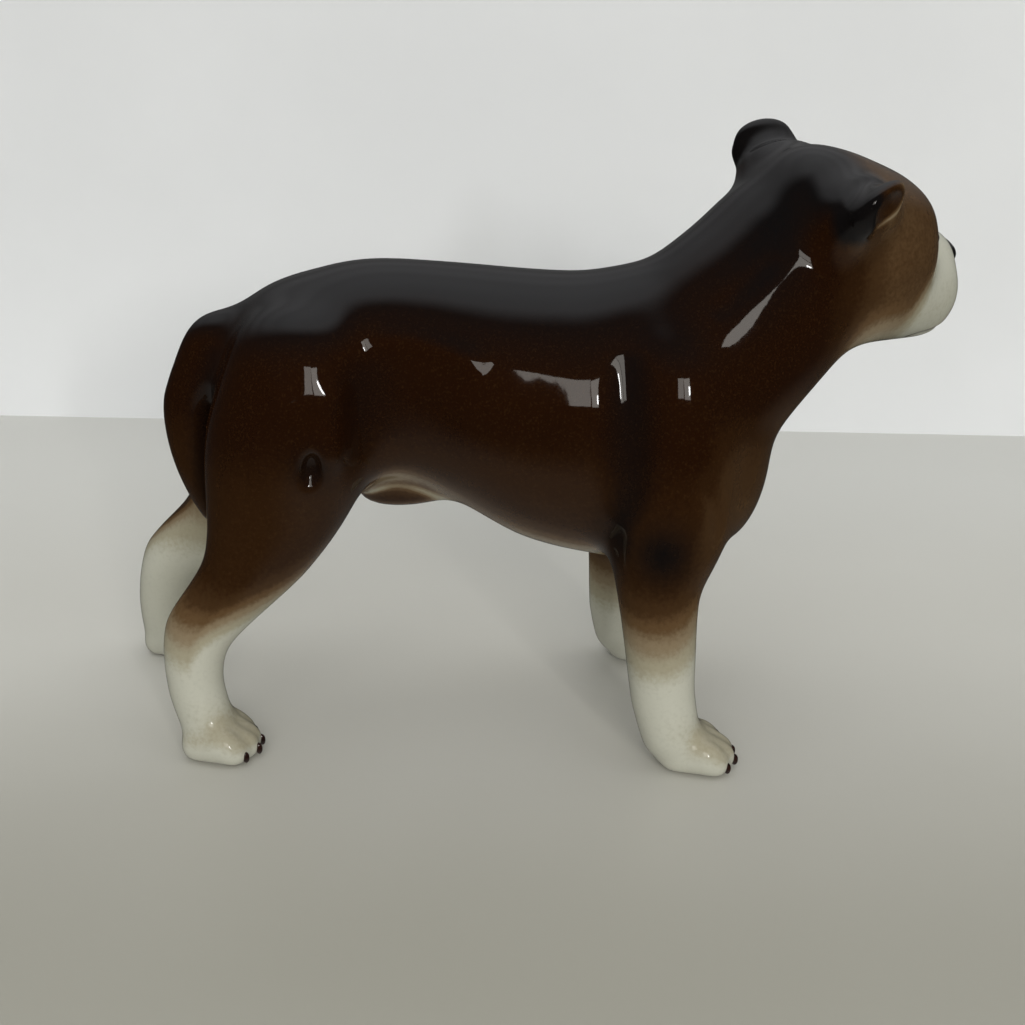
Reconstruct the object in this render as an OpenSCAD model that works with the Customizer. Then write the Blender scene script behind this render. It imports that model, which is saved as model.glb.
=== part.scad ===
// Standing dog figurine in hollow slip-cast earthenware, with its head turned to the left.
// The dog faces +X, its left side is +Y and its soles stand on z = 0.
// Every form is a chain of ellipsoids, each hulled to the next one, as a modeller rolls
// and joins clay. Stations are in millimetres for a figure 152 long, and scale with it.

/* [Figure] */
// Overall length, from the hind heel to the muzzle
figure_len = 152; // [76:1:304]
// Distance between the centres of a left paw and a right paw
track = 41; // [38:1:46]
// How far the left hind foot stands behind the right one
hind_stagger = 18; // [6:1:20]
// How far the left fore foot stands behind the right one
fore_stagger = 6; // [0:1:10]

/* [Body] */
// Width of the rib cage
barrel_w = 38; // [34:1:42]
// Thickness of the cast wall of the body and head
wall = 3; // [2:0.5:4]
// Diameter of the vent hole between the hind legs
vent_d = 3; // [2:0.5:5]

/* [Head] */
// Turn of the head to the dog's left, in degrees
head_turn = 28; // [20:1:38]
// Lean of the head to the dog's right, in degrees
head_lean = 12; // [0:1:14]
// Distance between the middles of the ears
ear_gap = 28; // [26:1:30]

/* [Hidden] */

LEFT = 1;
RIGHT = -1;
chain_fn = 26;   // facets round a body form
limb_fn = 20;    // facets round a limb
trim_fn = 14;    // facets round a toe, claw or eye
far = 200;       // half size of the blocks that cut a form in two
size = figure_len / 152;
centre = [1.38, 0.79]; // middle of the figure's own box, before it is moved to the origin
half_w = barrel_w / 2;

hind_cut = 45;                // height of the seam between torso and hind legs
fore_cut = 36;                // height of the seam between torso and fore legs
neck_seam = [38, 0, 75];      // a point on the seam between neck and head
neck_slope = 50;              // rise of the neck, in degrees
head_at = [50.7, 7, 84.3];        // middle of the skull

chocolate = [0.16, 0.09, 0.05];
charcoal = [0.08, 0.08, 0.08];
cream = [0.85, 0.82, 0.72];
enamel = [0.03, 0.02, 0.02];

// Stations: [x, y, z, half length, half width, half height]
barrel = [
    [-43, 0, 61.5, 7.5, 15, 12.5],
    [-36, 0, 63, 8, 17, 17],
    [-27, 0, 64, 6, 16.5, 18.5],
    [-18, 0, 63.5, 6, 16, 19],
    [-9, 0, 61, 6, 0.92 * half_w, 21],
    [0, 0, 58, 6, 0.98 * half_w, 23.4],
    [10, 0, 56.5, 6, half_w, 24.6],
    [20, 0, 56, 6, 0.98 * half_w, 25],
    [29, 0, 55, 7, 17, 22.5],
    [35, 0, 52.3, 8, 14, 18.2]
];
neck = [
    [27, 0, 62.5, 18, 18, 18.5],
    [33, 0.5, 69, 17, 16.5, 17],
    [38.5, 1.5, 75.3, 16.8, 15, 16.8],
    [43.5, 3.5, 81.5, 16.4, 14.5, 16.4]
];
// Sheath under the groin
sheath = [
    [-27, 0, 45, 3.5, 3, 3.5],
    [-20.5, 0, 43, 3.5, 3.2, 3.5],
    [-15, 0, 41.8, 2.5, 2.4, 2.6]
];
tail_line = [
    [-46.5, 0, 68.5, 5, 5.2, 5],
    [-51, 0, 67.5, 5, 5, 5],
    [-54.8, 0, 64, 4.8, 4.6, 4.8],
    [-57.3, 0, 58, 4.7, 4.4, 4.7],
    [-57.6, 0, 52, 4.4, 4, 4.4],
    [-57, -0.5, 46, 3.6, 3.3, 3.6],
    [-55.8, -1, 40.5, 2.5, 2.4, 2.5],
    [-54.8, -1.5, 36.5, 1.4, 1.4, 1.4]
];
// Limbs on the right side; y is given outward from the middle
hind_limb = [
    [-35.5, 10, 64, 13.5, 9.5, 13],
    [-38.3, 10.8, 55, 14.2, 9.8, 13],
    [-40.6, 11.5, 46.5, 12.8, 9, 12],
    [-43.4, 12.5, 38, 9.8, 7.8, 9.6],
    [-47.5, 14, 30.5, 7, 6.2, 7],
    [-53, 16, 24, 6, 5.2, 6],
    [-55.3, 17.4, 19, 5.4, 4.9, 5.4],
    [-55.2, 18.4, 12, 4.8, 4.6, 4.8],
    [-53.5, 19, 6, 4.6, 4.7, 4.8]
];
fore_limb = [
    [24, 9.5, 62, 14, 9.5, 14],
    [24, 11.5, 53, 12.5, 9.5, 12.5],
    [23, 14, 44, 10, 9, 10],
    [22.8, 16, 36, 7.9, 7.8, 7.9],
    [23.2, 18, 28, 6.7, 6.6, 6.7],
    [23.9, 19, 20, 6.1, 5.8, 6.1],
    [24.6, 19.8, 12.5, 5.6, 5.4, 5.6],
    [26.2, 20.3, 6, 5.2, 5.6, 5.2]
];
hind_foot = [-51.7, track / 2 - 1];
fore_foot = [30.3, track / 2];

// Head, in its own frame: +X to the nose, +Z up, the middle of the skull at zero
skull = [
    [-6, 0, 3, 11, 13.5, 15.2],
    [0, 0, 1, 12, 16, 15.9],
    [8.3, 0, -0.4, 11.1, 14.8, 14.4]
];
muzzle_bridge = [
    [6, 0, 1, 9, 8, 7],
    [21.7, 0, -3.1, 6.6, 6.8, 5.7]
];
flew = [
    [3, 7, -5, 9, 9, 9],
    [21.2, 4.2, -8, 7, 6, 8]
];
chin = [
    [2, 0, -11, 8, 9, 5.5],
    [20, 0, -14, 6, 6, 3.5]
];

// One point of a Catmull-Rom curve between stations b and c
function curve(a, b, c, d, t) =
    0.5 * (2 * b + (c - a) * t + (2 * a - 5 * b + 4 * c - d) * t * t
           + (3 * b - a - 3 * c + d) * t * t * t);
function at_end(list, i) = list[max(0, min(len(list) - 1, i))];
// The stations with `steps` places to each gap between them
function smooth(list, steps) = [
    for (i = [0 : len(list) - 2], k = [0 : steps - 1])
        curve(at_end(list, i - 1), list[i], list[i + 1], at_end(list, i + 2), k / steps),
    list[len(list) - 1]
];
function inset(list, by) = [for (s = list) s - [0, 0, 0, by, by, by]];
// A limb on its side of the dog, which slants back from its top by stagger
function limb_line(line, side, stagger) =
    [for (s = line) let (low = 1 - s[2] / line[0][2])
        [s[0] - stagger * low, side * (s[1] + low * (track - 41) / 2), s[2], s[3], s[4], s[5]]];

module ellipsoid(s, fn) {
    translate([s[0], s[1], s[2]])
        scale([s[3], s[4], s[5]])
            sphere(r = 1, $fn = fn);
}

module chain(stations, fn) {
    for (i = [0 : len(stations) - 2])
        hull() {
            ellipsoid(stations[i], fn);
            ellipsoid(stations[i + 1], fn);
        }
}

module slab(low, high) {
    translate([-far, -far, low])
        cube([2 * far, 2 * far, high - low]);
}

// Moves a piece from the modelling frame to the figure's own frame, at its real size
module piece() {
    scale(size)
        translate([-centre[0], -centre[1], 0])
            children();
}

// The half space above or below the seam across the neck
module neck_side(above) {
    translate(neck_seam)
        rotate([0, 90 - neck_slope, 0])
            translate([-far, -far, above ? 0 : -2 * far])
                cube(2 * far);
}

module in_head_frame() {
    translate(head_at)
        rotate([head_lean, 0, head_turn])
            children();
}

module trunk() {
    chain(smooth(barrel, 2), chain_fn);
    chain(smooth(neck, 2), chain_fn);
}

module limb(line, side, stagger) {
    chain(smooth(limb_line(line, side, stagger), 2), limb_fn);
}

module hind_limb_form(side) {
    limb(hind_limb, side, side == LEFT ? hind_stagger : 0);
}

module fore_limb_form(side) {
    limb(fore_limb, side, side == LEFT ? fore_stagger : 0);
}

function foot_at(foot, side, stagger) =
    [foot[0] - (side == LEFT ? 0.91 * stagger : 0), side * foot[1]];

// Places of the four toes, outward from the middle of the foot
toes = [-1.5, -0.5, 0.5, 1.5];
toe_pitch = 2.8;
toe_reach = 5;      // from the middle of the foot to the middle toes
toe_step = 1.7;     // how far the outer toes stand behind the middle ones
function toe_x(toe) = toe_reach - toe_step * (abs(toe) - 0.5);

module paw(at) {
    translate([at[0], at[1], 0])
        for (toe = toes) {
            knuckle = [1.5, toe * 2.4, 3.2, 3.4, 2.6, 3.4];
            hull() {
                ellipsoid([toe_x(toe), toe * toe_pitch, 2, 2.6, 2.1, 2.7], trim_fn);
                ellipsoid(knuckle, trim_fn);
            }
            hull() {
                ellipsoid(knuckle, trim_fn);
                ellipsoid([-2.8, toe * 1.4, 2.4, 3.4, 2.8, 3.6], trim_fn);
            }
        }
}

module claw_set(at) {
    translate([at[0], at[1], 0])
        for (toe = toes)
            ellipsoid([toe_x(toe) + 2.2, toe * toe_pitch * 1.05, 1.8, 0.8, 0.75, 1.2], trim_fn);
}

module leg(side, foot, stagger, cut) {
    at = foot_at(foot, side, stagger);
    difference() {
        intersection() {
            union() {
                children();
                paw(at);
            }
            slab(0, cut);
        }
        trunk();
        claw_set(at);
    }
}

// An ear stands out at a slant, and faces outward and a little forward
module in_ear_frame(side) {
    in_head_frame()
        translate([-4.8, side * ear_gap / 2, 9.4])
            rotate([side * -16, -8, 0])
                rotate([0, 0, side * 72])
                    children();
}

module ear_form(side) {
    in_ear_frame(side)
        chain([[0, 0, -2, 3.2, 5.6, 4], [-0.3, 0, 3, 2.4, 6.2, 4], [0.2, 0, 5.8, 1.9, 5.1, 3]], limb_fn);
}

// The hollow of an ear
module ear_hollow(side) {
    in_ear_frame(side)
        chain([[2.6, 0, -1, 1.6, 2, 3], [2.6, 0, 3.5, 2.2, 3.4, 4]], trim_fn);
}

module eye_ball(side) {
    in_head_frame()
        ellipsoid([15.6, side * 7.4, 4, 1.6, 2.1, 1.8], trim_fn);
}

module nose_pad() {
    in_head_frame()
        ellipsoid([27.2, 0, -1.4, 2.2, 3.8, 2.4], trim_fn);
}

module head_form() {
    chain(smooth(neck, 2), chain_fn);
    in_head_frame() {
        chain(smooth(skull, 2), chain_fn);
        chain(smooth(muzzle_bridge, 2), limb_fn);
        chain(smooth(chin, 2), limb_fn);
        for (side = [LEFT, RIGHT])
            mirror([0, side == RIGHT ? 1 : 0, 0])
                chain(flew, limb_fn);
    }
}

module torso() {
    color(chocolate) piece() difference() {
        union() {
            trunk();
            chain(smooth(sheath, 2), trim_fn);
            for (side = [LEFT, RIGHT]) {
                intersection() {
                    hind_limb_form(side);
                    slab(hind_cut, far);
                }
                intersection() {
                    fore_limb_form(side);
                    slab(fore_cut, far);
                }
            }
        }
        chain(inset(smooth(barrel, 2), wall), limb_fn);
        chain(inset(smooth(neck, 2), wall), limb_fn);
        translate([-36, 0, 30])
            cylinder(d = vent_d, h = 25, $fn = trim_fn);
        neck_side(above = true);
        tail_form();
    }
}

module head() {
    color(chocolate) piece() difference() {
        head_form();
        chain(inset(smooth(neck, 2), wall), limb_fn);
        in_head_frame()
            chain(inset(smooth(skull, 2), wall), limb_fn);
        neck_side(above = false);
        nose_pad();
        for (side = [LEFT, RIGHT]) {
            eye_ball(side);
            ear_form(side);
        }
    }
}

module ear(side) {
    color(charcoal) piece() difference() {
        ear_form(side);
        ear_hollow(side);
    }
}

module tail_form() {
    chain(smooth(tail_line, 2), limb_fn);
}

module tail() {
    color(chocolate) piece() tail_form();
}

module fore_leg(side) {
    color(cream) piece()
        leg(side, fore_foot, fore_stagger, fore_cut)
            fore_limb_form(side);
}

module hind_leg(side) {
    color(cream) piece()
        leg(side, hind_foot, hind_stagger, hind_cut)
            hind_limb_form(side);
}

module nose() {
    color(enamel) piece() nose_pad();
}

module eye(side) {
    color(enamel) piece() eye_ball(side);
}

module claws(side, foot, stagger) {
    color(enamel) piece() claw_set(foot_at(foot, side, stagger));
}

torso();
head();
ear(LEFT);  // ear_left
ear(RIGHT);  // ear_right
tail();
fore_leg(LEFT);  // fore_leg_left
fore_leg(RIGHT);  // fore_leg_right
hind_leg(LEFT);  // hind_leg_left
hind_leg(RIGHT);  // hind_leg_right
nose();
eye(LEFT);  // eye_left
eye(RIGHT);  // eye_right
claws(LEFT, fore_foot, fore_stagger);  // claws_fore_left
claws(RIGHT, fore_foot, fore_stagger);  // claws_fore_right
claws(LEFT, hind_foot, hind_stagger);  // claws_hind_left
claws(RIGHT, hind_foot, hind_stagger);  // claws_hind_right
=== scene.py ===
"""The looks of a glazed dog figurine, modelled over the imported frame. Lengths in fields are in mm."""

import math

import bpy
import numpy as np
import openvdb as vdb
from mathutils import Matrix, Vector
from mathutils.geometry import delaunay_2d_cdt


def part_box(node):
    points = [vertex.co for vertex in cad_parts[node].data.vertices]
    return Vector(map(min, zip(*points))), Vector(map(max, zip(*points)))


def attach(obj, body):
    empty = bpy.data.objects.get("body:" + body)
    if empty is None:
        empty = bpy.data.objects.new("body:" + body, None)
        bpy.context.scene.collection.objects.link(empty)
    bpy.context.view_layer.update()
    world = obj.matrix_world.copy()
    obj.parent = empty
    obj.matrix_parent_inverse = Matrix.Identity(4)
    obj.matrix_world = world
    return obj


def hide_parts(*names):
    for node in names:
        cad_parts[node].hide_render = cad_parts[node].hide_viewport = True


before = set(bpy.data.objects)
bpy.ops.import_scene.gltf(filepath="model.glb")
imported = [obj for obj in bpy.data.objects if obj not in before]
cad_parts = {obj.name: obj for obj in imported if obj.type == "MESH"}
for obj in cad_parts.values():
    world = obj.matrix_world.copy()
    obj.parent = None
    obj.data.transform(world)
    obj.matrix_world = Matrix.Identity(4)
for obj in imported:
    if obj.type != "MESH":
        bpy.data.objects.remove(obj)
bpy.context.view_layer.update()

MM = 0.001
LOW = np.array([-80.0, -34.0, -6.0])   # corner of the grid that holds the whole figure
HIGH = np.array([82.0, 34.0, 110.0])
FINE = 0.5                             # grid step for the body
COARSE = 1.0                           # grid step for the borders between pieces
LEGS = ("fore_leg_left", "fore_leg_right", "hind_leg_left", "hind_leg_right")
SHELLS = ("torso", "head", "ear_left", "ear_right", "tail") + LEGS
SIDES = {"left": 1.0, "right": -1.0}
DESIGN = np.array([-1.38, -0.79, 0.0])  # where the dog's own middle line and datum lie
FILL = 1.8                             # radius to which seams and sockets are filled
HIND_STAGGER = 18                      # how far each left foot stands behind the right one
FORE_STAGGER = 6
PAW_SHARE = 0.91                       # share of the stagger that a paw takes
HIND_PAW = (-51.7, 19.5)               # middle of a right paw: along, and outward
FORE_PAW = (30.3, 20.5)
TOES = (-1.5, -0.5, 0.5, 1.5)
NECK_SEAM = (38, 0, 75)                # a point on the seam between neck and head
NECK_SLOPE = math.radians(50)
NECK_NORMAL = np.array([math.cos(NECK_SLOPE), 0, math.sin(NECK_SLOPE)])
TAIL_NORMAL = (1, 0, 0.2)
UP = (0, 0, 1)
SEAM_NORMAL = {"tail": TAIL_NORMAL, **{leg: UP for leg in LEGS}}


# ---------- fields

class Field:
    """Signed distance on a regular grid, negative inside the clay."""

    def __init__(self, low, step, values):
        self.low = np.asarray(low, float)
        self.step = step
        self.values = values

    def line(self, axis):
        """Places of the grid along one axis."""
        return self.low[axis] + self.step * np.arange(self.values.shape[axis])

    def mesh_grid(self, part=None):
        """x, y and z of the grid, ready to broadcast."""
        lines = [self.line(k) for k in range(3)]
        if part is not None:
            lines = [line[cut] for line, cut in zip(lines, part)]
        return (lines[0][:, None, None], lines[1][None, :, None], lines[2][None, None, :])

    def part(self, low, high):
        """Slices of the grid between two corners."""
        first = np.floor((np.asarray(low, float) - self.low) / self.step).astype(int)
        last = np.ceil((np.asarray(high, float) - self.low) / self.step).astype(int) + 1
        shape = self.values.shape
        return tuple(slice(max(a, 0), min(b, n)) for a, b, n in zip(first, last, shape))

    def crop(self, low, high):
        cut = self.part(low, high)
        corner = self.low + self.step * np.array([c.start for c in cut])
        return Field(corner, self.step, self.values[cut].copy())

    def at(self, points):
        """Trilinear value at each point."""
        limit = np.array(self.values.shape) - 1.001
        q = np.clip((points - self.low) / self.step, 0, limit)
        cell = q.astype(np.int32)
        t = q - cell
        values = self.values.reshape(-1)
        _, ny, nz = self.values.shape
        first = (cell[:, 0] * ny + cell[:, 1]) * nz + cell[:, 2]
        tx, ty, tz = t.T
        low = values[first] * (1 - tz) + values[first + 1] * tz
        high = values[first + nz] * (1 - tz) + values[first + nz + 1] * tz
        near = low * (1 - ty) + high * ty
        first = first + ny * nz
        low = values[first] * (1 - tz) + values[first + 1] * tz
        high = values[first + nz] * (1 - tz) + values[first + nz + 1] * tz
        return near * (1 - tx) + (low * (1 - ty) + high * ty) * tx

    def slope(self, points, reach=0.6):
        """Gradient at each point, from central differences."""
        h = reach * self.step
        out = np.empty((len(points), 3))
        for axis in range(3):
            shift = np.zeros(3)
            shift[axis] = h
            out[:, axis] = (self.at(points + shift) - self.at(points - shift)) / (2 * h)
        return out


def placement(low, step):
    """The transform of a grid that has its corner at low."""
    x, y, z = (float(v) for v in low)
    return vdb.createLinearTransform([[step, 0, 0, 0], [0, step, 0, 0], [0, 0, step, 0], [x, y, z, 1]])


def level_set(low, step, shape, points, band=6, **faces):
    """Signed distance to a closed mesh of triangles or quads, good to band cells from it."""
    grid = vdb.FloatGrid.createLevelSetFromPolygons(
        np.ascontiguousarray(points, np.float32), transform=placement(low, step),
        halfWidth=float(band), **faces)
    values = np.empty(shape, np.float32)
    grid.copyToArray(values, ijk=(0, 0, 0))
    return Field(low, step, values)


def surface(field, level=0.0):
    """Points and quads where the field has that level."""
    grid = vdb.FloatGrid(float(field.values.max()))
    grid.copyFromArray(np.ascontiguousarray(field.values, np.float32))
    grid.transform = placement(field.low, field.step)
    points, quads = grid.convertToQuads(isovalue=float(level))
    return np.asarray(points, float), np.asarray(quads, np.int64)


def shells(count, faces):
    """A label for each point, the same across each joined shell."""
    label = np.arange(count)
    while True:
        lowest = label[faces[:, 0]]
        for column in faces.T[1:]:
            lowest = np.minimum(lowest, label[column])
        new = label.copy()
        for column in faces.T:
            np.minimum.at(new, column, lowest)
        new = new[new]
        if (new == label).all():
            return label
        label = new


def outer_shell(points, faces):
    label = shells(len(points), faces)
    keep = label[faces[:, 0]] == label[points[:, 0].argmax()]
    return faces[keep]


def blur(values, sigma):
    """Gaussian blur; sigma in cells."""
    reach = int(3 * sigma + 0.5)
    weights = np.exp(-0.5 * (np.arange(-reach, reach + 1) / sigma) ** 2)
    weights /= weights.sum()
    for axis in range(3):
        pad = [(0, 0)] * 3
        pad[axis] = (reach, reach)
        padded = np.pad(values, pad, mode="edge")
        out = np.zeros_like(values)
        for k, weight in enumerate(weights):
            cut = [slice(None)] * 3
            cut[axis] = slice(k, k + values.shape[axis])
            out += np.float32(weight) * padded[tuple(cut)]
        values = out
    return values


def refine(field):
    """The same field on a grid twice as fine, by cubic interpolation."""
    values = field.values
    for axis in range(3):
        values = np.moveaxis(values, axis, 0)
        count = len(values)
        padded = np.concatenate([values[:1], values, values[-1:]])
        middle = (9 * (padded[1:-2] + padded[2:-1]) - padded[:-3] - padded[3:]) / 16
        out = np.empty((2 * count - 1,) + values.shape[1:], np.float32)
        out[::2] = values
        out[1::2] = middle
        values = np.moveaxis(out, 0, axis)
    return Field(field.low, field.step / 2, np.ascontiguousarray(values))


def ramp(v, a, b):
    """0 at a, 1 at b, smooth between."""
    t = np.clip((v - a) / (b - a), 0, 1)
    return t * t * (3 - 2 * t)


# ---------- sculpting tools

PLAIN = np.eye(3)


def blend(a, b, weight):
    return a + (b - a) * weight


def offsets(field, centre, reach, axes=PLAIN):
    """Slices within reach of centre, and the offsets there along the axes."""
    part = field.part(centre - reach, centre + reach)
    x, y, z = field.mesh_grid(part)
    x, y, z = x - centre[0], y - centre[1], z - centre[2]
    return part, [a[0] * x + a[1] * y + a[2] * z for a in axes]


def dab(field, centre, radii, depth, axes=PLAIN):
    """A soft oval hollow of that depth, or a swelling where depth is negative."""
    part, offset = offsets(field, centre, 2.3 * max(radii), axes)
    q = sum((o / r) ** 2 for o, r in zip(offset, radii))
    field.values[part] += (depth * np.exp(-q)).astype(np.float32)


def oval(field, centre, radii, reach, axes=PLAIN):
    """Slices near an ellipsoid and the distance to it there."""
    part, offset = offsets(field, centre, reach, axes)
    k0 = np.sqrt(sum((o / r) ** 2 for o, r in zip(offset, radii)))
    k1 = np.sqrt(sum((o / r ** 2) ** 2 for o, r in zip(offset, radii)))
    return part, k0 * (k0 - 1) / np.maximum(k1, 1e-6)


def add(field, centre, radii, soft, axes=PLAIN):
    """An oval of clay, worked in over a width of soft."""
    part, d = oval(field, centre, radii, max(radii) + 2 * soft, axes)
    old = field.values[part]
    h = np.clip(soft - np.abs(old - d), 0, None) / soft
    field.values[part] = (np.minimum(old, d) - h * h * soft / 4).astype(np.float32)


def carve(field, centre, radii, soft, axes=PLAIN):
    """An oval cut out, its edge eased over a width of soft."""
    part, d = oval(field, centre, radii, max(radii) + 2 * soft, axes)
    old = field.values[part]
    h = np.clip(soft - np.abs(old + d), 0, None) / soft
    field.values[part] = (np.maximum(old, -d) + h * h * soft / 4).astype(np.float32)


def soften(field, centre, radii, sigma, axes=PLAIN):
    """Smooths the clay within an oval."""
    part, offset = offsets(field, centre, 1.2 * max(radii), axes)
    q = np.sqrt(sum((o / r) ** 2 for o, r in zip(offset, radii)))
    old = field.values[part]
    smooth = blur(old, sigma / field.step)
    field.values[part] = blend(old, smooth, ramp(-q, -1.1, -0.6)).astype(np.float32)


def curve(points, steps=6):
    """A Catmull-Rom line through the points."""
    p = np.array([points[0], *points, points[-1]], float)
    out = []
    for a, b, c, d in zip(p, p[1:], p[2:], p[3:]):
        for t in np.arange(steps) / steps:
            out.append(0.5 * (2 * b + (c - a) * t + (2 * a - 5 * b + 4 * c - d) * t ** 2
                              + (3 * b - a - 3 * c + d) * t ** 3))
    out.append(p[-1])
    return np.array(out)


def from_line(points, line):
    """Distance of each point to a line, and how far along it that is, 0 to 1."""
    best = np.full(points.shape[:-1], 1e9)
    along = np.zeros(points.shape[:-1])
    count = len(line) - 1
    for k in range(count):
        a, b = line[k], line[k + 1]
        ab = b - a
        t = np.clip(((points - a) @ ab) / (ab @ ab), 0, 1)
        d = np.linalg.norm(points - a - t[..., None] * ab, axis=-1)
        closer = d < best
        best = np.where(closer, d, best)
        along = np.where(closer, (k + t) / count, along)
    return best, along


def groove(field, points, width, depth, taper=0.25):
    """A line pressed into the clay, or a ridge where depth is negative. It fades out at its ends."""
    line = curve(points)
    part = field.part(line.min(axis=0) - 2.5 * width, line.max(axis=0) + 2.5 * width)
    x, y, z = np.broadcast_arrays(*field.mesh_grid(part))
    d, along = from_line(np.stack([x, y, z], axis=-1), line)
    ends = 1.0
    if taper:
        ends = ramp(along, -0.02, taper) * ramp(1 - along, -0.02, taper)
    field.values[part] += (depth * ends * np.exp(-(d / width) ** 2)).astype(np.float32)


def body(x, y, z):
    """A place in the dog's own datum, as a place in the frame."""
    return DESIGN + (x, y, z)


def turn(axis, degrees):
    return np.array(Matrix.Rotation(math.radians(degrees), 3, axis))


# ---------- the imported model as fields

def node_mesh(name):
    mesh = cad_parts[name].data
    mesh.calc_loop_triangles()
    points = np.empty(len(mesh.vertices) * 3, np.float32)
    mesh.vertices.foreach_get("co", points)
    triangles = np.empty(len(mesh.loop_triangles) * 3, np.int32)
    mesh.loop_triangles.foreach_get("vertices", triangles)
    return points.reshape(-1, 3) / MM, triangles.reshape(-1, 3).astype(np.uint32)


def grid_shape(step):
    return tuple(int(n) for n in np.ceil((HIGH - LOW) / step).astype(int) + 1)


def closed_union():
    """All the clay as one shell, its seams and sockets filled."""
    union = None
    for name in SHELLS:
        points, triangles = node_mesh(name)
        one = level_set(LOW, FINE, grid_shape(FINE), points, triangles=triangles, band=6)
        union = one.values if union is None else np.minimum(union, one.values)
    points, quads = surface(Field(LOW, FINE, union), FILL)
    quads = outer_shell(points, quads).astype(np.uint32)
    out = level_set(LOW, FINE, grid_shape(FINE), points, quads=quads, band=14)
    out.values += np.float32(FILL)
    return out


def wide_union(closed, radius, sigma):
    """The same shell with every inner corner filled to a wide radius, and softened."""
    points, quads = surface(closed, radius)
    quads = outer_shell(points, quads).astype(np.uint32)
    coarse = level_set(LOW, COARSE, grid_shape(COARSE), points, quads=quads, band=radius + 5)
    coarse.values += np.float32(radius)
    coarse.values = blur(coarse.values, sigma / COARSE)
    return coarse


closed = closed_union()
# withers, throat, and the front of the upper arms
add(closed, body(28, 0, 70), (15, 9, 13.2), 8, turn("Y", 22))
add(closed, body(48.5, 1.8, 76.1), (12, 8, 7.6), 3, turn("Y", 22))
for side in SIDES.values():
    back = 2 if side > 0 else 0
    add(closed, body(24.6 - back, 19 * side, 40), (4.8, 4.6, 8), 3)
    add(closed, body(26.5 - back, 13.5 * side, 41), (7, 6, 7.5), 6)
# borders between pieces, on the coarse grid
near_node = {}
for name in SHELLS:
    points, triangles = node_mesh(name)
    near_node[name] = level_set(LOW, COARSE, grid_shape(COARSE), points, triangles=triangles, band=12)


def border(*names):
    """Negative nearer to these nodes than to the others."""
    own = np.minimum.reduce([near_node[n].values for n in names])
    rest = np.minimum.reduce([near_node[n].values for n in SHELLS if n not in names])
    return Field(LOW, COARSE, blur(own - rest, 0.8))


# ---------- the head's own axes

def middle(node):
    low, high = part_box(node)
    return (np.array(low) + np.array(high)) / 2 / MM


EYE = np.array([15.6, 7.4, 4.0])       # left eye in the head's axes
NOSE = np.array([27.2, 0.0, -1.4])
EAR = np.array([-4.8, 14.0, 9.4])      # root of the left ear

eye_left = middle("eye_left")
eye_right = middle("eye_right")
head_y = (eye_left - eye_right) / np.linalg.norm(eye_left - eye_right)
eyes_to_nose = middle("nose") - (eye_left + eye_right) / 2
forward, rise = NOSE[0] - EYE[0], NOSE[2] - EYE[2]
side_on = np.cross(eyes_to_nose, head_y)
reach = math.hypot(forward, rise)
eyes_to_nose *= reach / np.linalg.norm(eyes_to_nose)
side_on *= reach / np.linalg.norm(side_on)
head_x = (forward * eyes_to_nose - rise * side_on) / reach ** 2
head_z = (rise * eyes_to_nose + forward * side_on) / reach ** 2
HEAD = np.array([head_x, head_y, head_z])
HEAD_AT = (eye_left + eye_right) / 2 - EYE[0] * head_x - EYE[2] * head_z


def in_head(x, y, z):
    """A place in the head's axes, as a place in the frame."""
    return HEAD_AT + x * head_x + y * head_y + z * head_z


def ear_axes(side):
    """Origin and axes of an ear: X out of its hollow, Z to its tip."""
    turned = turn("Y", -8) @ turn("X", -16 * side) @ turn("Z", 72 * side)
    axes = (HEAD.T @ turned).T
    return in_head(EAR[0], EAR[1] * side, EAR[2]), axes


# ---------- the form

add(closed, in_head(22.6, 0, -3.4), (5.2, 6, 5.2), 3, HEAD)
wide = wide_union(closed, 6.0, 2.0)
wide = refine(wide)
cut = tuple(slice(0, n) for n in closed.values.shape)
wide.values = wide.values[cut]


def region_masks(field):
    """How far each place takes the limbs' lighter smoothing, the paws', the ears' and the muzzle's."""
    x, y, z = field.mesh_grid()
    out_y = np.abs(y - DESIGN[1])
    hind = ramp(-x, 16, 22) * ramp(-z, -46, -30)
    fore = ramp(x, 2, 8) * ramp(-z, -42, -28)
    leg = np.maximum(hind, fore) * ramp(out_y, 4, 8) + ramp(-z, -24, -18)
    leg = np.minimum(leg, 1)
    paw = ramp(-z, -15, -10)
    tail = ramp(-x, 49, 53) * ramp(-out_y, -11, -8) * ramp(z, 26, 32) * ramp(-z, -66, -56)
    ears = 0
    for side in SIDES.values():
        at, axes = ear_axes(side)
        u, v, w = [a[0] * (x - at[0]) + a[1] * (y - at[1]) + a[2] * (z - at[2]) for a in axes]
        ball = np.sqrt((u / 5.5) ** 2 + (v / 8.5) ** 2 + ((w - 6.5) / 7) ** 2)
        ears = np.maximum(ears, ramp(-ball, -1.15, -0.75))
    u = head_x[0] * (x - HEAD_AT[0]) + head_x[1] * (y - HEAD_AT[1]) + head_x[2] * (z - HEAD_AT[2])
    w = head_z[0] * (x - HEAD_AT[0]) + head_z[1] * (y - HEAD_AT[1]) + head_z[2] * (z - HEAD_AT[2])
    muzzle = ramp(u, 5, 21) * ramp(x, 40, 46)
    return leg, paw, tail, ears, muzzle


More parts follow.
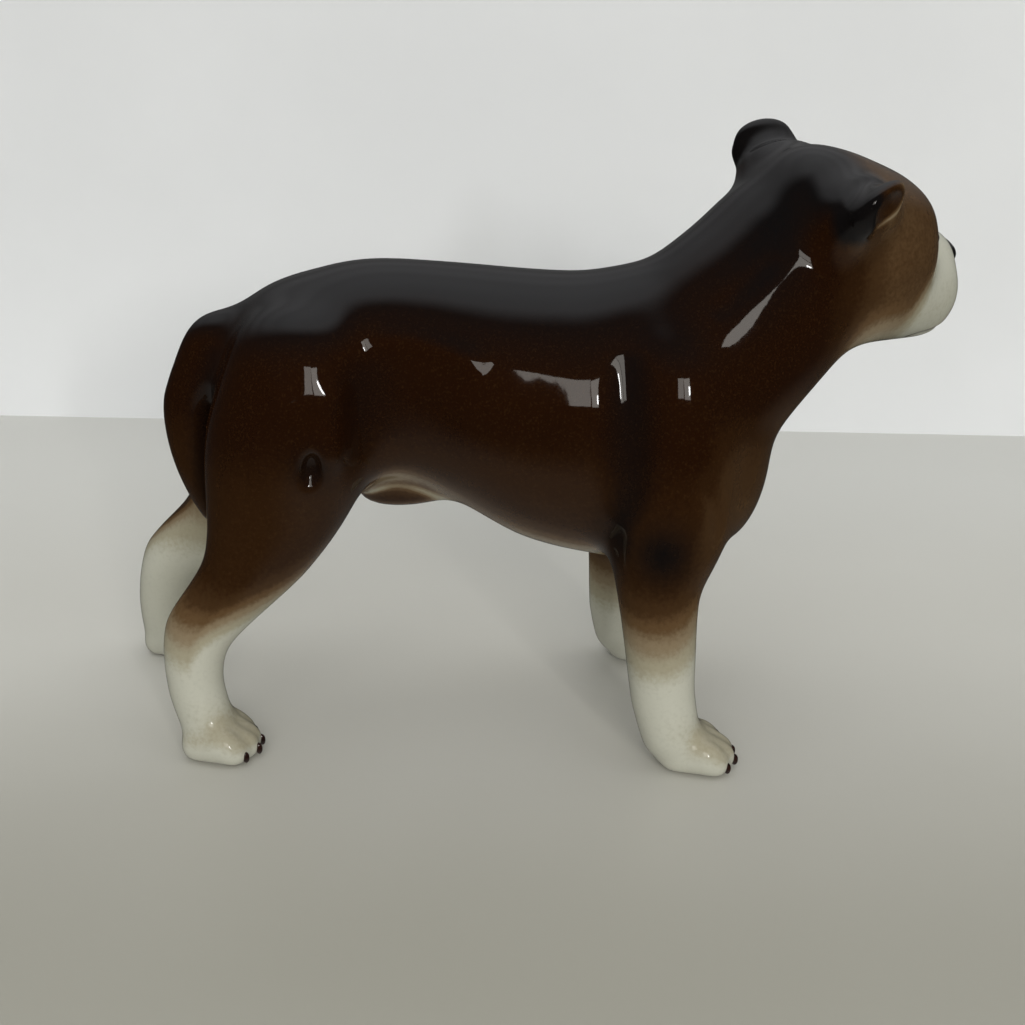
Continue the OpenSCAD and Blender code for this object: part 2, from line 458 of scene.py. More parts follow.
leg, paw, tail, ears, muzzle = region_masks(closed)
soft_body = wide.values
soft_limb = blur(closed.values, 1.2 / FINE)
crisp = blur(closed.values, 0.5 / FINE)
form = blend(soft_body, soft_limb, np.clip(leg + muzzle, 0, 1))
form = blend(form, blur(closed.values, 0.9 / FINE), np.maximum(tail, paw))
form = blend(form, crisp, ears)
form = Field(LOW, FINE, form.astype(np.float32))


def on_side(side):
    """A place on the right side, or its mirror image set back by the stagger on the left."""
    back = 0.0 if side < 0 else 1.0

    def at(x, y, z):
        low = max(0.0, 1 - z / 64)
        shift = back * low * (HIND_STAGGER if x < 0 else FORE_STAGGER)
        return body(x - shift, side * y, z)

    return at


def sculpt_thigh(field, at):
    """A full muscle with a dimple at the stifle, and in front of it a hollow flank."""
    dab(field, at(-40, 20, 62), (11, 8, 15), -1.3)
    dab(field, at(-31, 19.5, 57), (6, 6, 10), -1.2)
    dab(field, at(-33.8, 21, 52.6), (4.2, 3, 5.2), -0.4)
    carve(field, at(-33.8, 22.2, 52.4), (1.8, 2.6, 3.3), 1.3, turn("Y", -8))
    dab(field, at(-30.2, 20, 55.4), (2.6, 3, 3.0), -0.9)
    dab(field, at(-38, 21, 63.5), (1.8, 3, 4.5), -0.35, turn("Y", 20))
    dab(field, at(-29.6, 19, 64), (2.0, 3, 2.4), -0.6)
    dab(field, at(-24.5, 17.5, 60), (5.2, 5, 9.5), 2.6)
    groove(field, [at(-28.5, 19.5, 68.5), at(-24.8, 18, 66), at(-24, 17, 58), at(-26, 16, 52)], 2.0, 1.1)
    groove(field, [at(-27.5, 18.5, 66.5), at(-22, 17.5, 67.8), at(-17, 17.5, 68)], 1.5, 0.6)
    groove(field, [at(-26, 16, 72), at(-19, 16, 73), at(-12, 16.5, 71), at(-6, 17.5, 68)], 2.5, -0.65)


def sculpt_shoulder(field, at):
    """Loin and last rib, a groove behind the upper arm, the arm itself, its point, and the elbow."""
    dab(field, at(-17, 17, 58), (7, 5, 10), 1.0)
    dab(field, at(-6, 18, 60), (9, 6, 16), -0.5)
    behind_arm = [at(15.5, 17, 72), at(15.8, 19, 66), at(16.4, 20, 59), at(16.8, 21, 51), at(15.8, 21, 44)]
    groove(field, behind_arm, 2.6, 1.9)
    dab(field, at(24, 20, 60), (7, 6, 13), -0.6)
    dab(field, at(29, 19.5, 55), (6, 6, 8), -0.8)
    dab(field, at(9, 18.5, 62), (7, 5, 9), -0.5)
    dab(field, at(25, 18.5, 67), (6.5, 5, 7), -0.7)
    groove(field, [at(26, 19, 53), at(29, 20.5, 50), at(31, 20, 45), at(30, 19, 40)], 1.8, 0.5)
    dab(field, at(15.5, 19, 41.5), (3, 3, 3), 0.4)
    dab(field, at(17.5, 20.5, 38.5), (3.4, 3, 4), -0.35)


def sculpt_hock(field, at):
    """The tendon and the point of the hock."""
    groove(field, [at(-50, 17.5, 34), at(-53, 18.5, 28), at(-55, 19.5, 22)], 1.5, 0.45)
    dab(field, at(-57.6, 17, 23), (3, 3, 3), -0.5)


def sculpt_toes(field, side):
    """Shallow lines between the toes."""
    back = 0.0 if side < 0 else 1.0
    for (paw_x, paw_y), stagger in ((HIND_PAW, HIND_STAGGER), (FORE_PAW, FORE_STAGGER)):
        set_back = back * PAW_SHARE * stagger
        for gap in (-2.8, 0, 2.8):
            toe = body(paw_x - set_back, side * paw_y + gap, 0)
            dip = abs(gap) * 0.3
            groove(field, [toe + (7.6 - dip, gap * 0.1, 0.8), toe + (6.9 - dip, gap * 0.06, 3.2),
                           toe + (4.6 - dip, 0, 5.2), toe + (1.2, 0, 6.6)], 0.95, 0.16)


def sculpt_body(field):
    """Muscles, hollows and folds of the trunk and limbs."""
    # sheath and vent
    add(field, body(-21, 0, 42.4), (7.5, 2.8, 3.2), 1.6, turn("Y", 6))
    carve(field, body(-36, 0, 46), (1.5, 1.5, 8), 0.8)
    # croup and root of the tail
    dab(field, body(-44, 0, 75), (6.5, 10, 7), -2.0)
    dab(field, body(-55, 0, 71), (5, 6, 7), -1.3)
    for side in SIDES.values():
        at = on_side(side)
        sculpt_thigh(field, at)
        sculpt_shoulder(field, at)
        sculpt_hock(field, at)
        sculpt_toes(field, side)
        # neck muscle
        groove(field, [at(29, 14.5, 77), at(34, 13, 82), at(39.5, 11.5, 87)], 1.6, 0.5)


sculpt_body(form)


def on_clay(*places):
    """Places moved onto the surface of the form."""
    points = np.array(places, float)
    for _ in range(8):
        slope = form.slope(points)
        size = np.maximum((slope ** 2).sum(axis=1), 0.3)
        points = points - slope * (form.at(points) / size)[:, None]
    return list(points)


PARTING = on_clay(in_head(28, 0, -3.5), in_head(27.6, 0, -5.8), in_head(27, 0, -8))
LIPS = {}
for side in SIDES.values():
    LIPS[side] = on_clay(in_head(27, 0.4 * side, -8), in_head(26.2, 3 * side, -9.6),
                         in_head(24, 6.4 * side, -11.8), in_head(20, 9.2 * side, -13.6),
                         in_head(15.5, 10.6 * side, -14.4))


# ---------- pieces as meshes

class Skin:
    """A triangle mesh in mm, and which triangles are hidden seam faces."""

    def __init__(self, points, triangles, seam=None):
        self.points = points
        self.triangles = triangles
        self.seam = np.zeros(len(triangles), int) if seam is None else seam

    def compact(self):
        """The same skin without the points that no triangle uses."""
        used, index = np.unique(self.triangles, return_inverse=True)
        return Skin(self.points[used], index.reshape(-1, 3), self.seam)


def skin_of(field, rounds=2):
    """The field's zero surface as triangles whose points lie right on it."""
    points, quads = surface(field)
    for _ in range(rounds):
        slope = field.slope(points)
        square = np.maximum((slope ** 2).sum(axis=1), 0.2)
        move = field.at(points) / square
        move = np.clip(move, -0.3 * field.step, 0.3 * field.step)
        points = points - slope * move[:, None]
    a, b, c, d = quads.T
    first = np.linalg.norm(points[a] - points[c], axis=1) < np.linalg.norm(points[b] - points[d], axis=1)
    one = np.where(first[:, None], np.stack([a, b, c], 1), np.stack([b, c, d], 1))
    two = np.where(first[:, None], np.stack([a, c, d], 1), np.stack([b, d, a], 1))
    skin = Skin(points, np.concatenate([one, two]))
    t = skin.points[skin.triangles]
    normal = np.cross(t[:, 1] - t[:, 0], t[:, 2] - t[:, 0])
    outward = field.slope(t.mean(axis=1))
    if (normal * outward).sum() < 0:
        skin.triangles = skin.triangles[:, ::-1].copy()
    return skin


def cap(points, edges, normal):
    """Triangles that fill loops of edges, seen along normal."""
    used, index = np.unique(edges, return_inverse=True)
    normal = Vector(normal).normalized()
    across = normal.orthogonal().normalized()
    up = normal.cross(across)
    place = points[used]
    flat = [Vector((float(p @ across), float(p @ up))) for p in place]
    result = delaunay_2d_cdt(flat, index.reshape(-1, 2).tolist(), [], 2, 1e-7)
    origin = np.array([o[0] if o else -1 for o in result[3]])
    faces = origin[np.array(result[2])]
    faces = faces[(faces >= 0).all(axis=1)]
    return used[faces]


def split(skin, values):
    """Cuts a skin where values are zero. Returns the parts with values below and above, both capped."""
    values = np.where(np.abs(values) < 1e-5, 1e-5, values)
    inside = values < 0
    count = inside[skin.triangles].sum(axis=1)
    mixed = (count == 1) | (count == 2)
    t = skin.triangles[mixed]
    seam = skin.seam[mixed]
    lone_inside = count[mixed] == 1
    state = inside[t]
    lone = np.where(lone_inside, state.argmax(axis=1), (~state).argmax(axis=1))
    row = np.arange(len(t))
    a, b, c = t[row, lone], t[row, (lone + 1) % 3], t[row, (lone + 2) % 3]
    pairs = np.concatenate([np.stack([a, b], 1), np.stack([a, c], 1)])
    key = np.sort(pairs, axis=1)
    unique, index = np.unique(key, axis=0, return_inverse=True)
    index = index.reshape(-1)
    p, q = unique.T
    share = values[p] / (values[p] - values[q])
    fresh = skin.points[p] + (skin.points[q] - skin.points[p]) * share[:, None]
    points = np.concatenate([skin.points, fresh])
    ab = len(skin.points) + index[:len(t)]
    ac = len(skin.points) + index[len(t):]
    tip = np.stack([a, ab, ac], 1)
    base = np.concatenate([np.stack([ab, b, c], 1), np.stack([ab, c, ac], 1)])
    base_inside = np.tile(~lone_inside, 2)
    base_seam = np.tile(seam, 2)
    below = [skin.triangles[count == 3], tip[lone_inside], base[base_inside]]
    below_seam = [skin.seam[count == 3], seam[lone_inside], base_seam[base_inside]]
    above = [skin.triangles[count == 0], tip[~lone_inside], base[~base_inside]]
    above_seam = [skin.seam[count == 0], seam[~lone_inside], base_seam[~base_inside]]
    edges = np.stack([ab, ac], 1)
    return (Skin(points, np.concatenate(below), np.concatenate(below_seam)),
            Skin(points, np.concatenate(above), np.concatenate(above_seam)), edges)


def piece_from(skin, values, normal, inward=True):
    """The biggest shell of one side of a cut, closed along its loops."""
    below, above, edges = split(skin, values)
    part = below if inward else above
    label = shells(len(part.points), part.triangles)
    tag, size = np.unique(label[part.triangles[:, 0]], return_counts=True)
    big = tag[size.argmax()]
    part.triangles, part.seam = (part.triangles[label[part.triangles[:, 0]] == big],
                                 part.seam[label[part.triangles[:, 0]] == big])
    edges = edges[(label[edges] == big).all(axis=1)]
    lid = cap(part.points, edges, normal)
    n = np.array(normal, float) * (1 if inward else -1)
    t = part.points[lid]
    facing = np.cross(t[:, 1] - t[:, 0], t[:, 2] - t[:, 0]) @ n
    if facing.sum() < 0:
        lid = lid[:, ::-1]
    out = Skin(part.points, np.concatenate([part.triangles, lid]),
               np.concatenate([part.seam, np.ones(len(lid), int)]))
    return out.compact()


def add_object(name, data):
    obj = bpy.data.objects.new(name, data)
    bpy.context.scene.collection.objects.link(obj)
    return obj


def build(name, skin, field, paint):
    """A Blender object from a skin, with its normals and paint taken from the fields."""
    mesh = bpy.data.meshes.new(name)
    mesh.vertices.add(len(skin.points))
    mesh.vertices.foreach_set("co", (skin.points * MM).astype(np.float32).ravel())
    count = len(skin.triangles)
    mesh.loops.add(3 * count)
    mesh.loops.foreach_set("vertex_index", skin.triangles.astype(np.int32).ravel())
    mesh.polygons.add(count)
    mesh.polygons.foreach_set("loop_start", np.arange(0, 3 * count, 3, dtype=np.int32))
    mesh.polygons.foreach_set("loop_total", np.full(count, 3, np.int32))
    mesh.update(calc_edges=True)
    mesh.polygons.foreach_set("use_smooth", np.ones(count, bool))
    normal = field.slope(skin.points, 1.0)
    normal /= np.maximum(np.linalg.norm(normal, axis=1), 1e-9)[:, None]
    t = skin.points[skin.triangles]
    flat = np.cross(t[:, 1] - t[:, 0], t[:, 2] - t[:, 0])
    flat /= np.maximum(np.linalg.norm(flat, axis=1), 1e-12)[:, None]
    loops = np.where(skin.seam[:, None, None] > 0, flat[:, None, :], normal[skin.triangles])
    mesh.normals_split_custom_set(loops.reshape(-1, 3).astype(np.float32))
    for layer, values in paint(skin.points, normal).items():
        data = mesh.attributes.new(layer, "FLOAT", "POINT")
        data.data.foreach_set("value", values.astype(np.float32))
    return add_object(name, mesh)


# ---------- paint

def near_line(points, line, width):
    """1 on a line through these places, fading to 0 over width."""
    d, _ = from_line(points, curve(line, 4))
    return np.exp(-(d / width) ** 2)


def near_spot(points, centre, radius):
    return np.exp(-((np.linalg.norm(points - centre, axis=1) / radius) ** 2))


def head_local(points):
    return (points - HEAD_AT) @ HEAD.T


class Places:
    """Where points lie in the dog's datum and in the head's axes, and how the clay faces there."""

    def __init__(self, points, normal):
        self.points = points
        self.x, self.y, self.z = (points - DESIGN).T
        self.nx, self.ny, self.nz = normal.T
        self.u, self.v, self.w = head_local(points).T
        self.outward = self.ny * np.sign(self.y)


def trunk_brown(p):
    """Brown on the trunk and legs, which fade to cream sooner where the spray reached least."""
    x, y, z, nx, nz, outward = p.x, p.y, p.z, p.nx, p.nz, p.outward
    front = ramp(x, -5, 5)
    shin = ramp(-z, -46, -30)
    hind_height = z - 9 * np.clip(nx, 0, 1) * ramp(-z, -56, -34) + 3 * outward * shin
    fore_height = z + 3.5 * np.abs(outward) * shin - 1.5 * nx + 5 * ramp(y, 0, 8) * shin
    brown = (1 - front) * ramp(hind_height, 15, 36) + front * ramp(fore_height, 15, 40)
    # a tan wash on top of the paws, partly real tan and partly painted shade that darkens the paws
    brown = np.maximum(brown, 0.25 * ramp(-z, -17, -7) * ramp(nz, -0.4, 0.7))
    # the trunk is paler towards the belly
    brown *= 0.84 + 0.16 * ramp(z + 14 * nz, 40, 62)
    belly = ramp(-nz, 0.5, 0.96) * ramp(-z, -58, -46) * (1 - ramp(x, 16, 26)) * ramp(x, -40, -30)
    brown *= 1 - 0.68 * belly
    # inside of the thighs
    inner = ramp(-outward, 0.2, 0.8) * ramp(-z, -52, -40) * ramp(np.abs(y), 3, 7) * ramp(-x, 10, 20)
    brown *= 1 - 0.5 * inner
    # sheath: a brown top inside a pale rim
    around = np.hypot((x + 21) / 8.5, y / 4.0)
    sheath = ramp(-around, -1.1, -0.75) * ramp(-z, -43.4, -41.6)
    brown = np.maximum(brown, 0.66 * sheath)
    rim = np.exp(-((around - 1.1) / 0.2) ** 2) * ramp(-z, -46, -43)
    return brown * (1 - 0.6 * rim)


def muzzle_mask(p):
    """1 on the cream muzzle and lower jaw."""
    on_head = ramp(p.x, 44, 50) * ramp(p.z, 58, 64)
    edge = 16.7 + 0.34 * np.clip(p.w + 6, -12, 8) - 0.03 * p.v ** 2
    fade = 2.2 + 0.16 * np.clip(-p.w - 2, 0, 12)
    return ramp((p.u - edge) / fade, -1.1, 1) * on_head


def lighten_front(p, brown, muzzle):
    """Thinner brown on the muzzle, throat, cheeks and chest."""
    brown = brown * (1 - muzzle * (0.92 - 0.1 * ramp(-p.w, 0, 9)))
    throat = ramp(-p.nz, 0.1, 0.9) * ramp(p.x, 36, 44)
    brown *= 1 - 0.35 * throat
    cheek = ramp(p.u, -13, 3) * ramp(p.x, 40, 50) * ramp(p.z, 56, 62)
    brown *= 1 - 0.34 * cheek - 0.2 * ramp(p.x, 40, 48) * ramp(-p.w, 2, 11) * ramp(p.u, -8, 4)
    chest = ramp(p.x, 18, 32) * ramp(-p.z, -68, -52) * ramp(p.z, 30, 42) * ramp(p.nx, 0.15, 0.8)
    return brown * (1 - 0.2 * chest)


def airbrush_and_shade(p):
    """Charcoal along the back and crown; painted shade in the groove behind the shoulders, at the elbows,
    in the flank hollows and stifle dimples, and beside the tail.
    """
    points = p.points
    coal = ramp(p.nz, 0.25, 0.85) * ramp(p.z, 52, 66)
    crown = ramp(-p.u, -2, 5) * ramp(p.nz, 0.0, 0.6) * ramp(p.z, 52, 66)
    on_neck = ramp(p.x, 26, 40)
    coal = coal * (1 - on_neck) + on_neck * crown
    for s in SIDES.values():
        back = 1.0 if s > 0 else 0.0
        # painted shade in the groove behind the upper arm
        arm = [body(16, s * 17, 70), body(16.5, s * 20, 60), body(16.5, s * 21, 50), body(15, s * 20, 42)]
        coal = np.maximum(coal, 0.9 * near_line(points, arm, 3.4))
        # painted shade in the flank hollow in front of the thigh
        flank = [body(-25, s * 17, 66), body(-25, s * 17, 54)]
        coal = np.maximum(coal, 0.45 * near_line(points, flank, 4))
        # painted shade at the top of the foreleg, by the elbow
        coal = np.maximum(coal, 0.9 * near_spot(points, body(15 - 2 * back, s * 20, 41), 4.4))
        coal = np.maximum(coal, 0.95 * near_spot(points, body(22.5 - 2 * back, s * 24, 40), 5.2))
        # painted shade in the stifle dimple
        coal = np.maximum(coal, 0.75 * near_spot(points, body(-33.8 - 3 * back, s * 20.5, 52.6), 3.4))
    # painted shade in the groove beside the tail
    beside_tail = [body(-50, -5, 66), body(-53, -5, 56), body(-54, -4, 46), body(-53, -4, 40)]
    return np.maximum(coal, 0.8 * near_line(points, beside_tail, 3))


def paint_ears(p, brown, coal):
    """Charcoal backs, and a brown hollow inside a rim lightened as a painted highlight."""
    for s in SIDES.values():
        at, axes = ear_axes(s)
        e = (p.points - at) @ axes.T
        shape = ((e[:, 0] / 6) ** 2 + (e[:, 1] / 8) ** 2 + ((e[:, 2] - 4) / 9) ** 2)
        here = ramp(-shape, -1.4, -0.8) * ramp(e[:, 2], -2.6, 0.4)
        fore = -s * e[:, 1]
        back_face = np.maximum(ramp(-e[:, 0], -1.0, 0.5), ramp(-fore, 1.0, 3.4))
        coal = coal * (1 - here) + here * back_face
        ring = np.hypot((fore + 0.3) / 4.4, (e[:, 2] - 5.2) / 3.8)
        brown = np.maximum(brown, 0.85 * here * ramp(-ring, -1.0, -0.75) * ramp(e[:, 0], -0.5, 0.5))
        # a paler ring round the hollow: a painted highlight on the ear's rim
        brown = brown * (1 - 0.34 * here * (1 - back_face) * np.exp(-((ring - 1.0) / 0.13) ** 2))
    return brown, coal


def black_line(points):
    """Lips, lids and the parting under the nose."""
    line = np.zeros(len(points))
    for s in SIDES.values():
        line = np.maximum(line, 0.9 * near_line(points, LIPS[s], 0.6))
        lids = near_spot(points, in_head(EYE[0], EYE[1] * s, EYE[2]), 2.8)
        line = np.maximum(line, ramp(lids, 0.3, 0.6))
    return np.maximum(line, 0.85 * near_line(points, PARTING, 0.5))


def glaze_paint(points, normal):
    """How much brown, how much charcoal and painted shade, and how much black line there is under the
    glaze.
    """
    p = Places(points, normal)
    muzzle = muzzle_mask(p)
    brown = lighten_front(p, trunk_brown(p), muzzle)
    brown, coal = paint_ears(p, brown, airbrush_and_shade(p))
    return {"brown": brown, "coal": coal * (1 - muzzle), "line": black_line(points)}


# ---------- pieces

def make_piece(name, low, high, normal, detail=None):
    """One limb, ear, tail or head, cut from the form on a finer grid."""
    fine = refine(form.crop(low, high))
    if detail:
        detail(fine)
    skin = skin_of(fine)
    values = head_border(skin.points) if name == "head" else border(name).at(skin.points)
    part = piece_from(skin, values, normal)
    if name == "head":
        for word, side in SIDES.items():
            ear = border("ear_" + word).at(part.points)
            part = piece_from(part, ear, ear_axes(side)[1][2] * -1, inward=False)
    return build(name + "_skin", part, fine, glaze_paint)


def head_border(points):
    return -(points - body(*NECK_SEAM)) @ NECK_NORMAL


def sculpt_head(field):
    """Ears, brow, eye sockets, lips, swellings beside the parting, and the parting under the nose."""
    for s in SIDES.values():
        at, axes = ear_axes(s)
        add(field, at + np.array([-3.8, 0, -0.8]) @ axes, (3.0, 4.8, 4.6), 6, axes)
        if s < 0:
            dab(field, at + np.array([0, 0, 9.8]) @ axes, (4, 8, 3.2), 0.5, axes)
        else:
            dab(field, at + np.array([-1, 6, -2.5]) @ axes, (4, 3, 4), 1.3, axes)
        dab(field, at + np.array([4.0, 0, -3.2]) @ axes, (3.6, 7, 4), 2.3, axes)
        soften(field, at + np.array([-3, 0, 0]) @ axes, (7, 9, 8), 0.8, axes)
        soften(field, at + np.array([-4, 0, -3]) @ axes, (8, 10, 6), 1.4, axes)
        carve(field, at + np.array([3.1, 0.3 * s, 5.2]) @ axes, (2.5, 3.9, 3.3), 0.7, axes)
        carve(field, in_head(16.2, 7.5 * s, 4), (1.6, 2.3, 1.7), 1.2, HEAD)
        dab(field, in_head(14, 5.5 * s, 8.5), (5, 5, 4), -0.5, HEAD)
        groove(field, LIPS[s], 0.6, 0.5)
        dab(field, in_head(26.8, 2.2 * s, -7.5), (3, 3, 3), -0.4, HEAD)
    groove(field, PARTING, 0.5, 0.4)


pieces = {}
pieces["head"] = make_piece("head", (22, -22, 56), (81, 34, 104), -NECK_NORMAL, sculpt_head)
for word, s in SIDES.items():
    at, axes = ear_axes(s)
    pieces["ear_" + word] = make_piece("ear_" + word, at - 14, at + 14, axes[2] * -1, sculpt_head)
    low_y, high_y = (0.5, 34) if s > 0 else (-34, -1.5)
    pieces["fore_leg_" + word] = make_piece("fore_leg_" + word, (4, low_y, -5), (44, high_y, 46), UP)
    pieces["hind_leg_" + word] = make_piece("hind_leg_" + word, (-80, low_y, -5), (-18, high_y, 54), UP)
pieces["tail"] = make_piece("tail", (-66, -14, 28), (-40, 14, 80), TAIL_NORMAL)

trunk = skin_of(form)
trunk = piece_from(trunk, head_border(trunk.points), -NECK_NORMAL, inward=False)
for name in ("tail",) + LEGS:
    trunk = piece_from(trunk, border(name).at(trunk.points), SEAM_NORMAL[name], inward=False)
pieces["torso"] = build("torso_skin", trunk, form, glaze_paint)


# ---------- enamel beads

PAWS = {  # middle of each paw in the dog's own datum
    "fore_right": (FORE_PAW[0], -FORE_PAW[1]),
    "fore_left": (FORE_PAW[0] - PAW_SHARE * FORE_STAGGER, FORE_PAW[1]),
    "hind_right": (HIND_PAW[0], -HIND_PAW[1]),
    "hind_left": (HIND_PAW[0] - PAW_SHARE * HIND_STAGGER, HIND_PAW[1])}


def empty_field(low, high, step):
    shape = np.ceil((np.asarray(high) - low) / step).astype(int) + 1
    return Field(low, step, np.full(shape, 4.0, np.float32))


def nose_shape():
    """A broad pad with two wings, nostrils and a parting."""
    tip = NOSE - (0.4, 0, 0)
    centre = in_head(*tip)
    field = empty_field(centre - 6, centre + 6, 0.15)
    add(field, centre, (2.1, 3.3, 2.2), 0.6, HEAD)
    for s in SIDES.values():
        add(field, in_head(tip[0] + 0.1, 2.1 * s, tip[2] - 0.4), (1.9, 1.7, 1.7), 0.8, HEAD)
        carve(field, in_head(tip[0] + 2.0, 1.7 * s, tip[2] - 0.7), (1.0, 0.65, 0.55), 0.3, HEAD)
        wing = [in_head(tip[0] + 1.9, 2.0 * s, tip[2] - 0.7), in_head(tip[0] + 1.4, 3.2 * s, tip[2] - 0.3)]
        groove(field, wing, 0.35, 0.3)
    groove(field, [in_head(tip[0] + 2.4, 0, tip[2] + 0.6), in_head(tip[0] + 2.3, 0, tip[2] - 1),
                   in_head(tip[0] + 1.6, 0, tip[2] - 2.2)], 0.35, 0.35)
    return field


def eye_shape(side):
    """A bead with a raised iris."""
    centre = in_head(EYE[0], EYE[1] * side, EYE[2])
    field = empty_field(centre - 4, centre + 4, 0.12)
    add(field, centre, (1.5, 2.0, 1.7), 0.3, HEAD)
    add(field, in_head(EYE[0] + 0.75, EYE[1] * side + 0.25 * side, EYE[2]), (0.95, 1.15, 1.1), 0.25, HEAD)
    return field


def claw_shape(paw):
    """Four short claws, pointed and curved down."""
    x, y = PAWS[paw]
    first = body(x, y, 0)
    field = empty_field(first + (3, -7, -1), first + (10, 7, 5), 0.14)
    for toe in TOES:
        root = first + (6.9 - 1.7 * (abs(toe) - 0.5), toe * 2.94, 1.9)
        add(field, root, (0.75, 0.5, 0.8), 0.4)
        add(field, root + (0.25, 0, -0.5), (0.5, 0.36, 0.6), 0.5)
        add(field, root + (0.3, 0, -0.9), (0.32, 0.24, 0.45), 0.5)
    return field


def plain_paint(points, normal):
    return {"iris": np.zeros(len(points))}


def iris_paint(points, normal):
    """Brown round the pupil, black at the rim."""
    u, v, w = head_local(points).T
    radius = np.hypot(np.abs(v) - EYE[1] - 0.25, w - EYE[2])
    return {"iris": ramp(radius, 0.35, 0.5) * ramp(-radius, -1.0, -0.8) * ramp(u, EYE[0], EYE[0] + 0.5)}


beads = {"nose": (nose_shape(), plain_paint)}
for word, s in SIDES.items():
    beads["eye_" + word] = (eye_shape(s), iris_paint)
for paw in PAWS:
    beads["claws_" + paw] = (claw_shape(paw), plain_paint)
enamel_pieces = {}
for name, (field, paint) in beads.items():
    enamel_pieces[name] = build(name + "_bead", skin_of(field), field, paint)
    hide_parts(name)
    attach(enamel_pieces[name], "root")

for name, obj in pieces.items():
    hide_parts(name)
    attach(obj, "root")


# ---------- materials

def material(name):
    mat = bpy.data.materials.new(name)
    mat.use_nodes = True
    nodes = mat.node_tree.nodes
    return mat, nodes, mat.node_tree.links, nodes["Principled BSDF"]


def noise(nodes, links, scale, detail=3.0):
    coords = nodes.new("ShaderNodeTexCoord")
    tex = nodes.new("ShaderNodeTexNoise")
    tex.inputs["Scale"].default_value = scale
    tex.inputs["Detail"].default_value = detail
    links.new(coords.outputs["Object"], tex.inputs["Vector"])
    return tex.outputs["Fac"]


def along_axes(nodes, links, kind):
    """X, Y and Z of the texture coordinates of that kind."""
    coords = nodes.new("ShaderNodeTexCoord")
    apart = nodes.new("ShaderNodeSeparateXYZ")
    links.new(coords.outputs[kind], apart.inputs[0])
    return apart.outputs


def maths(nodes, links, operation, a, b):
    node = nodes.new("ShaderNodeMath")
    node.operation = operation
    for socket, value in zip(node.inputs, (a, b)):
        if isinstance(value, (int, float)):
            socket.default_value = value
        else:
            links.new(value, socket)
    return node.outputs[0]


def attribute(nodes, name):
    node = nodes.new("ShaderNodeAttribute")
    node.attribute_name = name
    return node.outputs["Fac"]


def srgb(r, g, b):
    def one(v):
        v /= 255
        return v / 12.92 if v <= 0.04045 else ((v + 0.055) / 1.055) ** 2.4
    return one(r), one(g), one(b), 1.0


def gradient(nodes, links, factor, stops):
    node = nodes.new("ShaderNodeValToRGB")
    ramp_data = node.color_ramp
    ramp_data.interpolation = "EASE"
    while len(ramp_data.elements) < len(stops):
        ramp_data.elements.new(0.5)
    for element, (place, colour) in zip(ramp_data.elements, stops):
        element.position = place
        element.color = colour
    links.new(factor, node.inputs["Fac"])
    return node.outputs["Color"]


def mix(nodes, links, factor, a, b):
    node = nodes.new("ShaderNodeMix")
    node.data_type = "RGBA"
    links.new(factor, node.inputs["Factor"])
    for socket, value in ((node.inputs[6], a), (node.inputs[7], b)):
        if isinstance(value, tuple):
            socket.default_value = value
        else:
            links.new(value, socket)
    return node.outputs[2]


def bump(nodes, links, shader, layers):
    """Layers of (noise scale, depth in metres)."""
    last = None
    for scale, depth in layers:
        node = nodes.new("ShaderNodeBump")
        node.inputs["Strength"].default_value = 1.0
        node.inputs["Distance"].default_value = depth
        links.new(noise(nodes, links, scale, 1.0), node.inputs["Height"])
        if last:
            links.new(last, node.inputs["Normal"])
        last = node.outputs["Normal"]
    links.new(last, shader.inputs["Normal"])


GLAZE_STOPS = [  # from bare cream to the fullest brown
    (0.05, srgb(188, 188, 174)), (0.24, srgb(158, 152, 130)), (0.42, srgb(132, 117, 93)),
    (0.58, srgb(92, 71, 47)), (0.72, srgb(63, 44, 25)), (0.86, srgb(44, 26, 10)),
    (1.0, srgb(31, 14, 4))]
FLECK_STOPS = [(0.52, (0, 0, 0, 1)), (0.78, (0.16, 0.16, 0.16, 1))]


def glaze():
    """Cream under brown with golden flecks, then charcoal and painted shade, then black line, under clear
    glaze.
    """
    mat, nodes, links, shader = material("glazed_ceramic")
    grain = maths(nodes, links, "SUBTRACT", noise(nodes, links, 1400, 2), 0.5)
    cloud = maths(nodes, links, "SUBTRACT", noise(nodes, links, 130, 3), 0.5)
    fine = maths(nodes, links, "MULTIPLY", grain, 0.09)
    brown = maths(nodes, links, "ADD", attribute(nodes, "brown"), fine)
    brown = maths(nodes, links, "ADD", brown, maths(nodes, links, "MULTIPLY", cloud, 0.08))
    base = gradient(nodes, links, brown, GLAZE_STOPS)
    fleck = gradient(nodes, links, noise(nodes, links, 2600, 1.0), FLECK_STOPS)
    fleck = maths(nodes, links, "MULTIPLY", fleck, attribute(nodes, "brown"))
    base = mix(nodes, links, fleck, base, srgb(76, 54, 30))
    rough = maths(nodes, links, "MULTIPLY", grain, 0.2)
    coal = maths(nodes, links, "ADD", attribute(nodes, "coal"), rough)
    node = nodes.new("ShaderNodeClamp")
    links.new(coal, node.inputs["Value"])
    colour = mix(nodes, links, node.outputs[0], base, srgb(14, 12, 12))
    colour = mix(nodes, links, attribute(nodes, "line"), colour, srgb(14, 9, 8))
    links.new(colour, shader.inputs["Base Color"])
    shader.inputs["Roughness"].default_value = 0.045
    shader.inputs["IOR"].default_value = 1.48
    shader.inputs["Specular IOR Level"].default_value = 0.24
    bump(nodes, links, shader, [(160, 0.00003), (700, 0.000004)])
    return mat


GLAZE = glaze()
for obj in pieces.values():
    obj.data.materials.append(GLAZE)


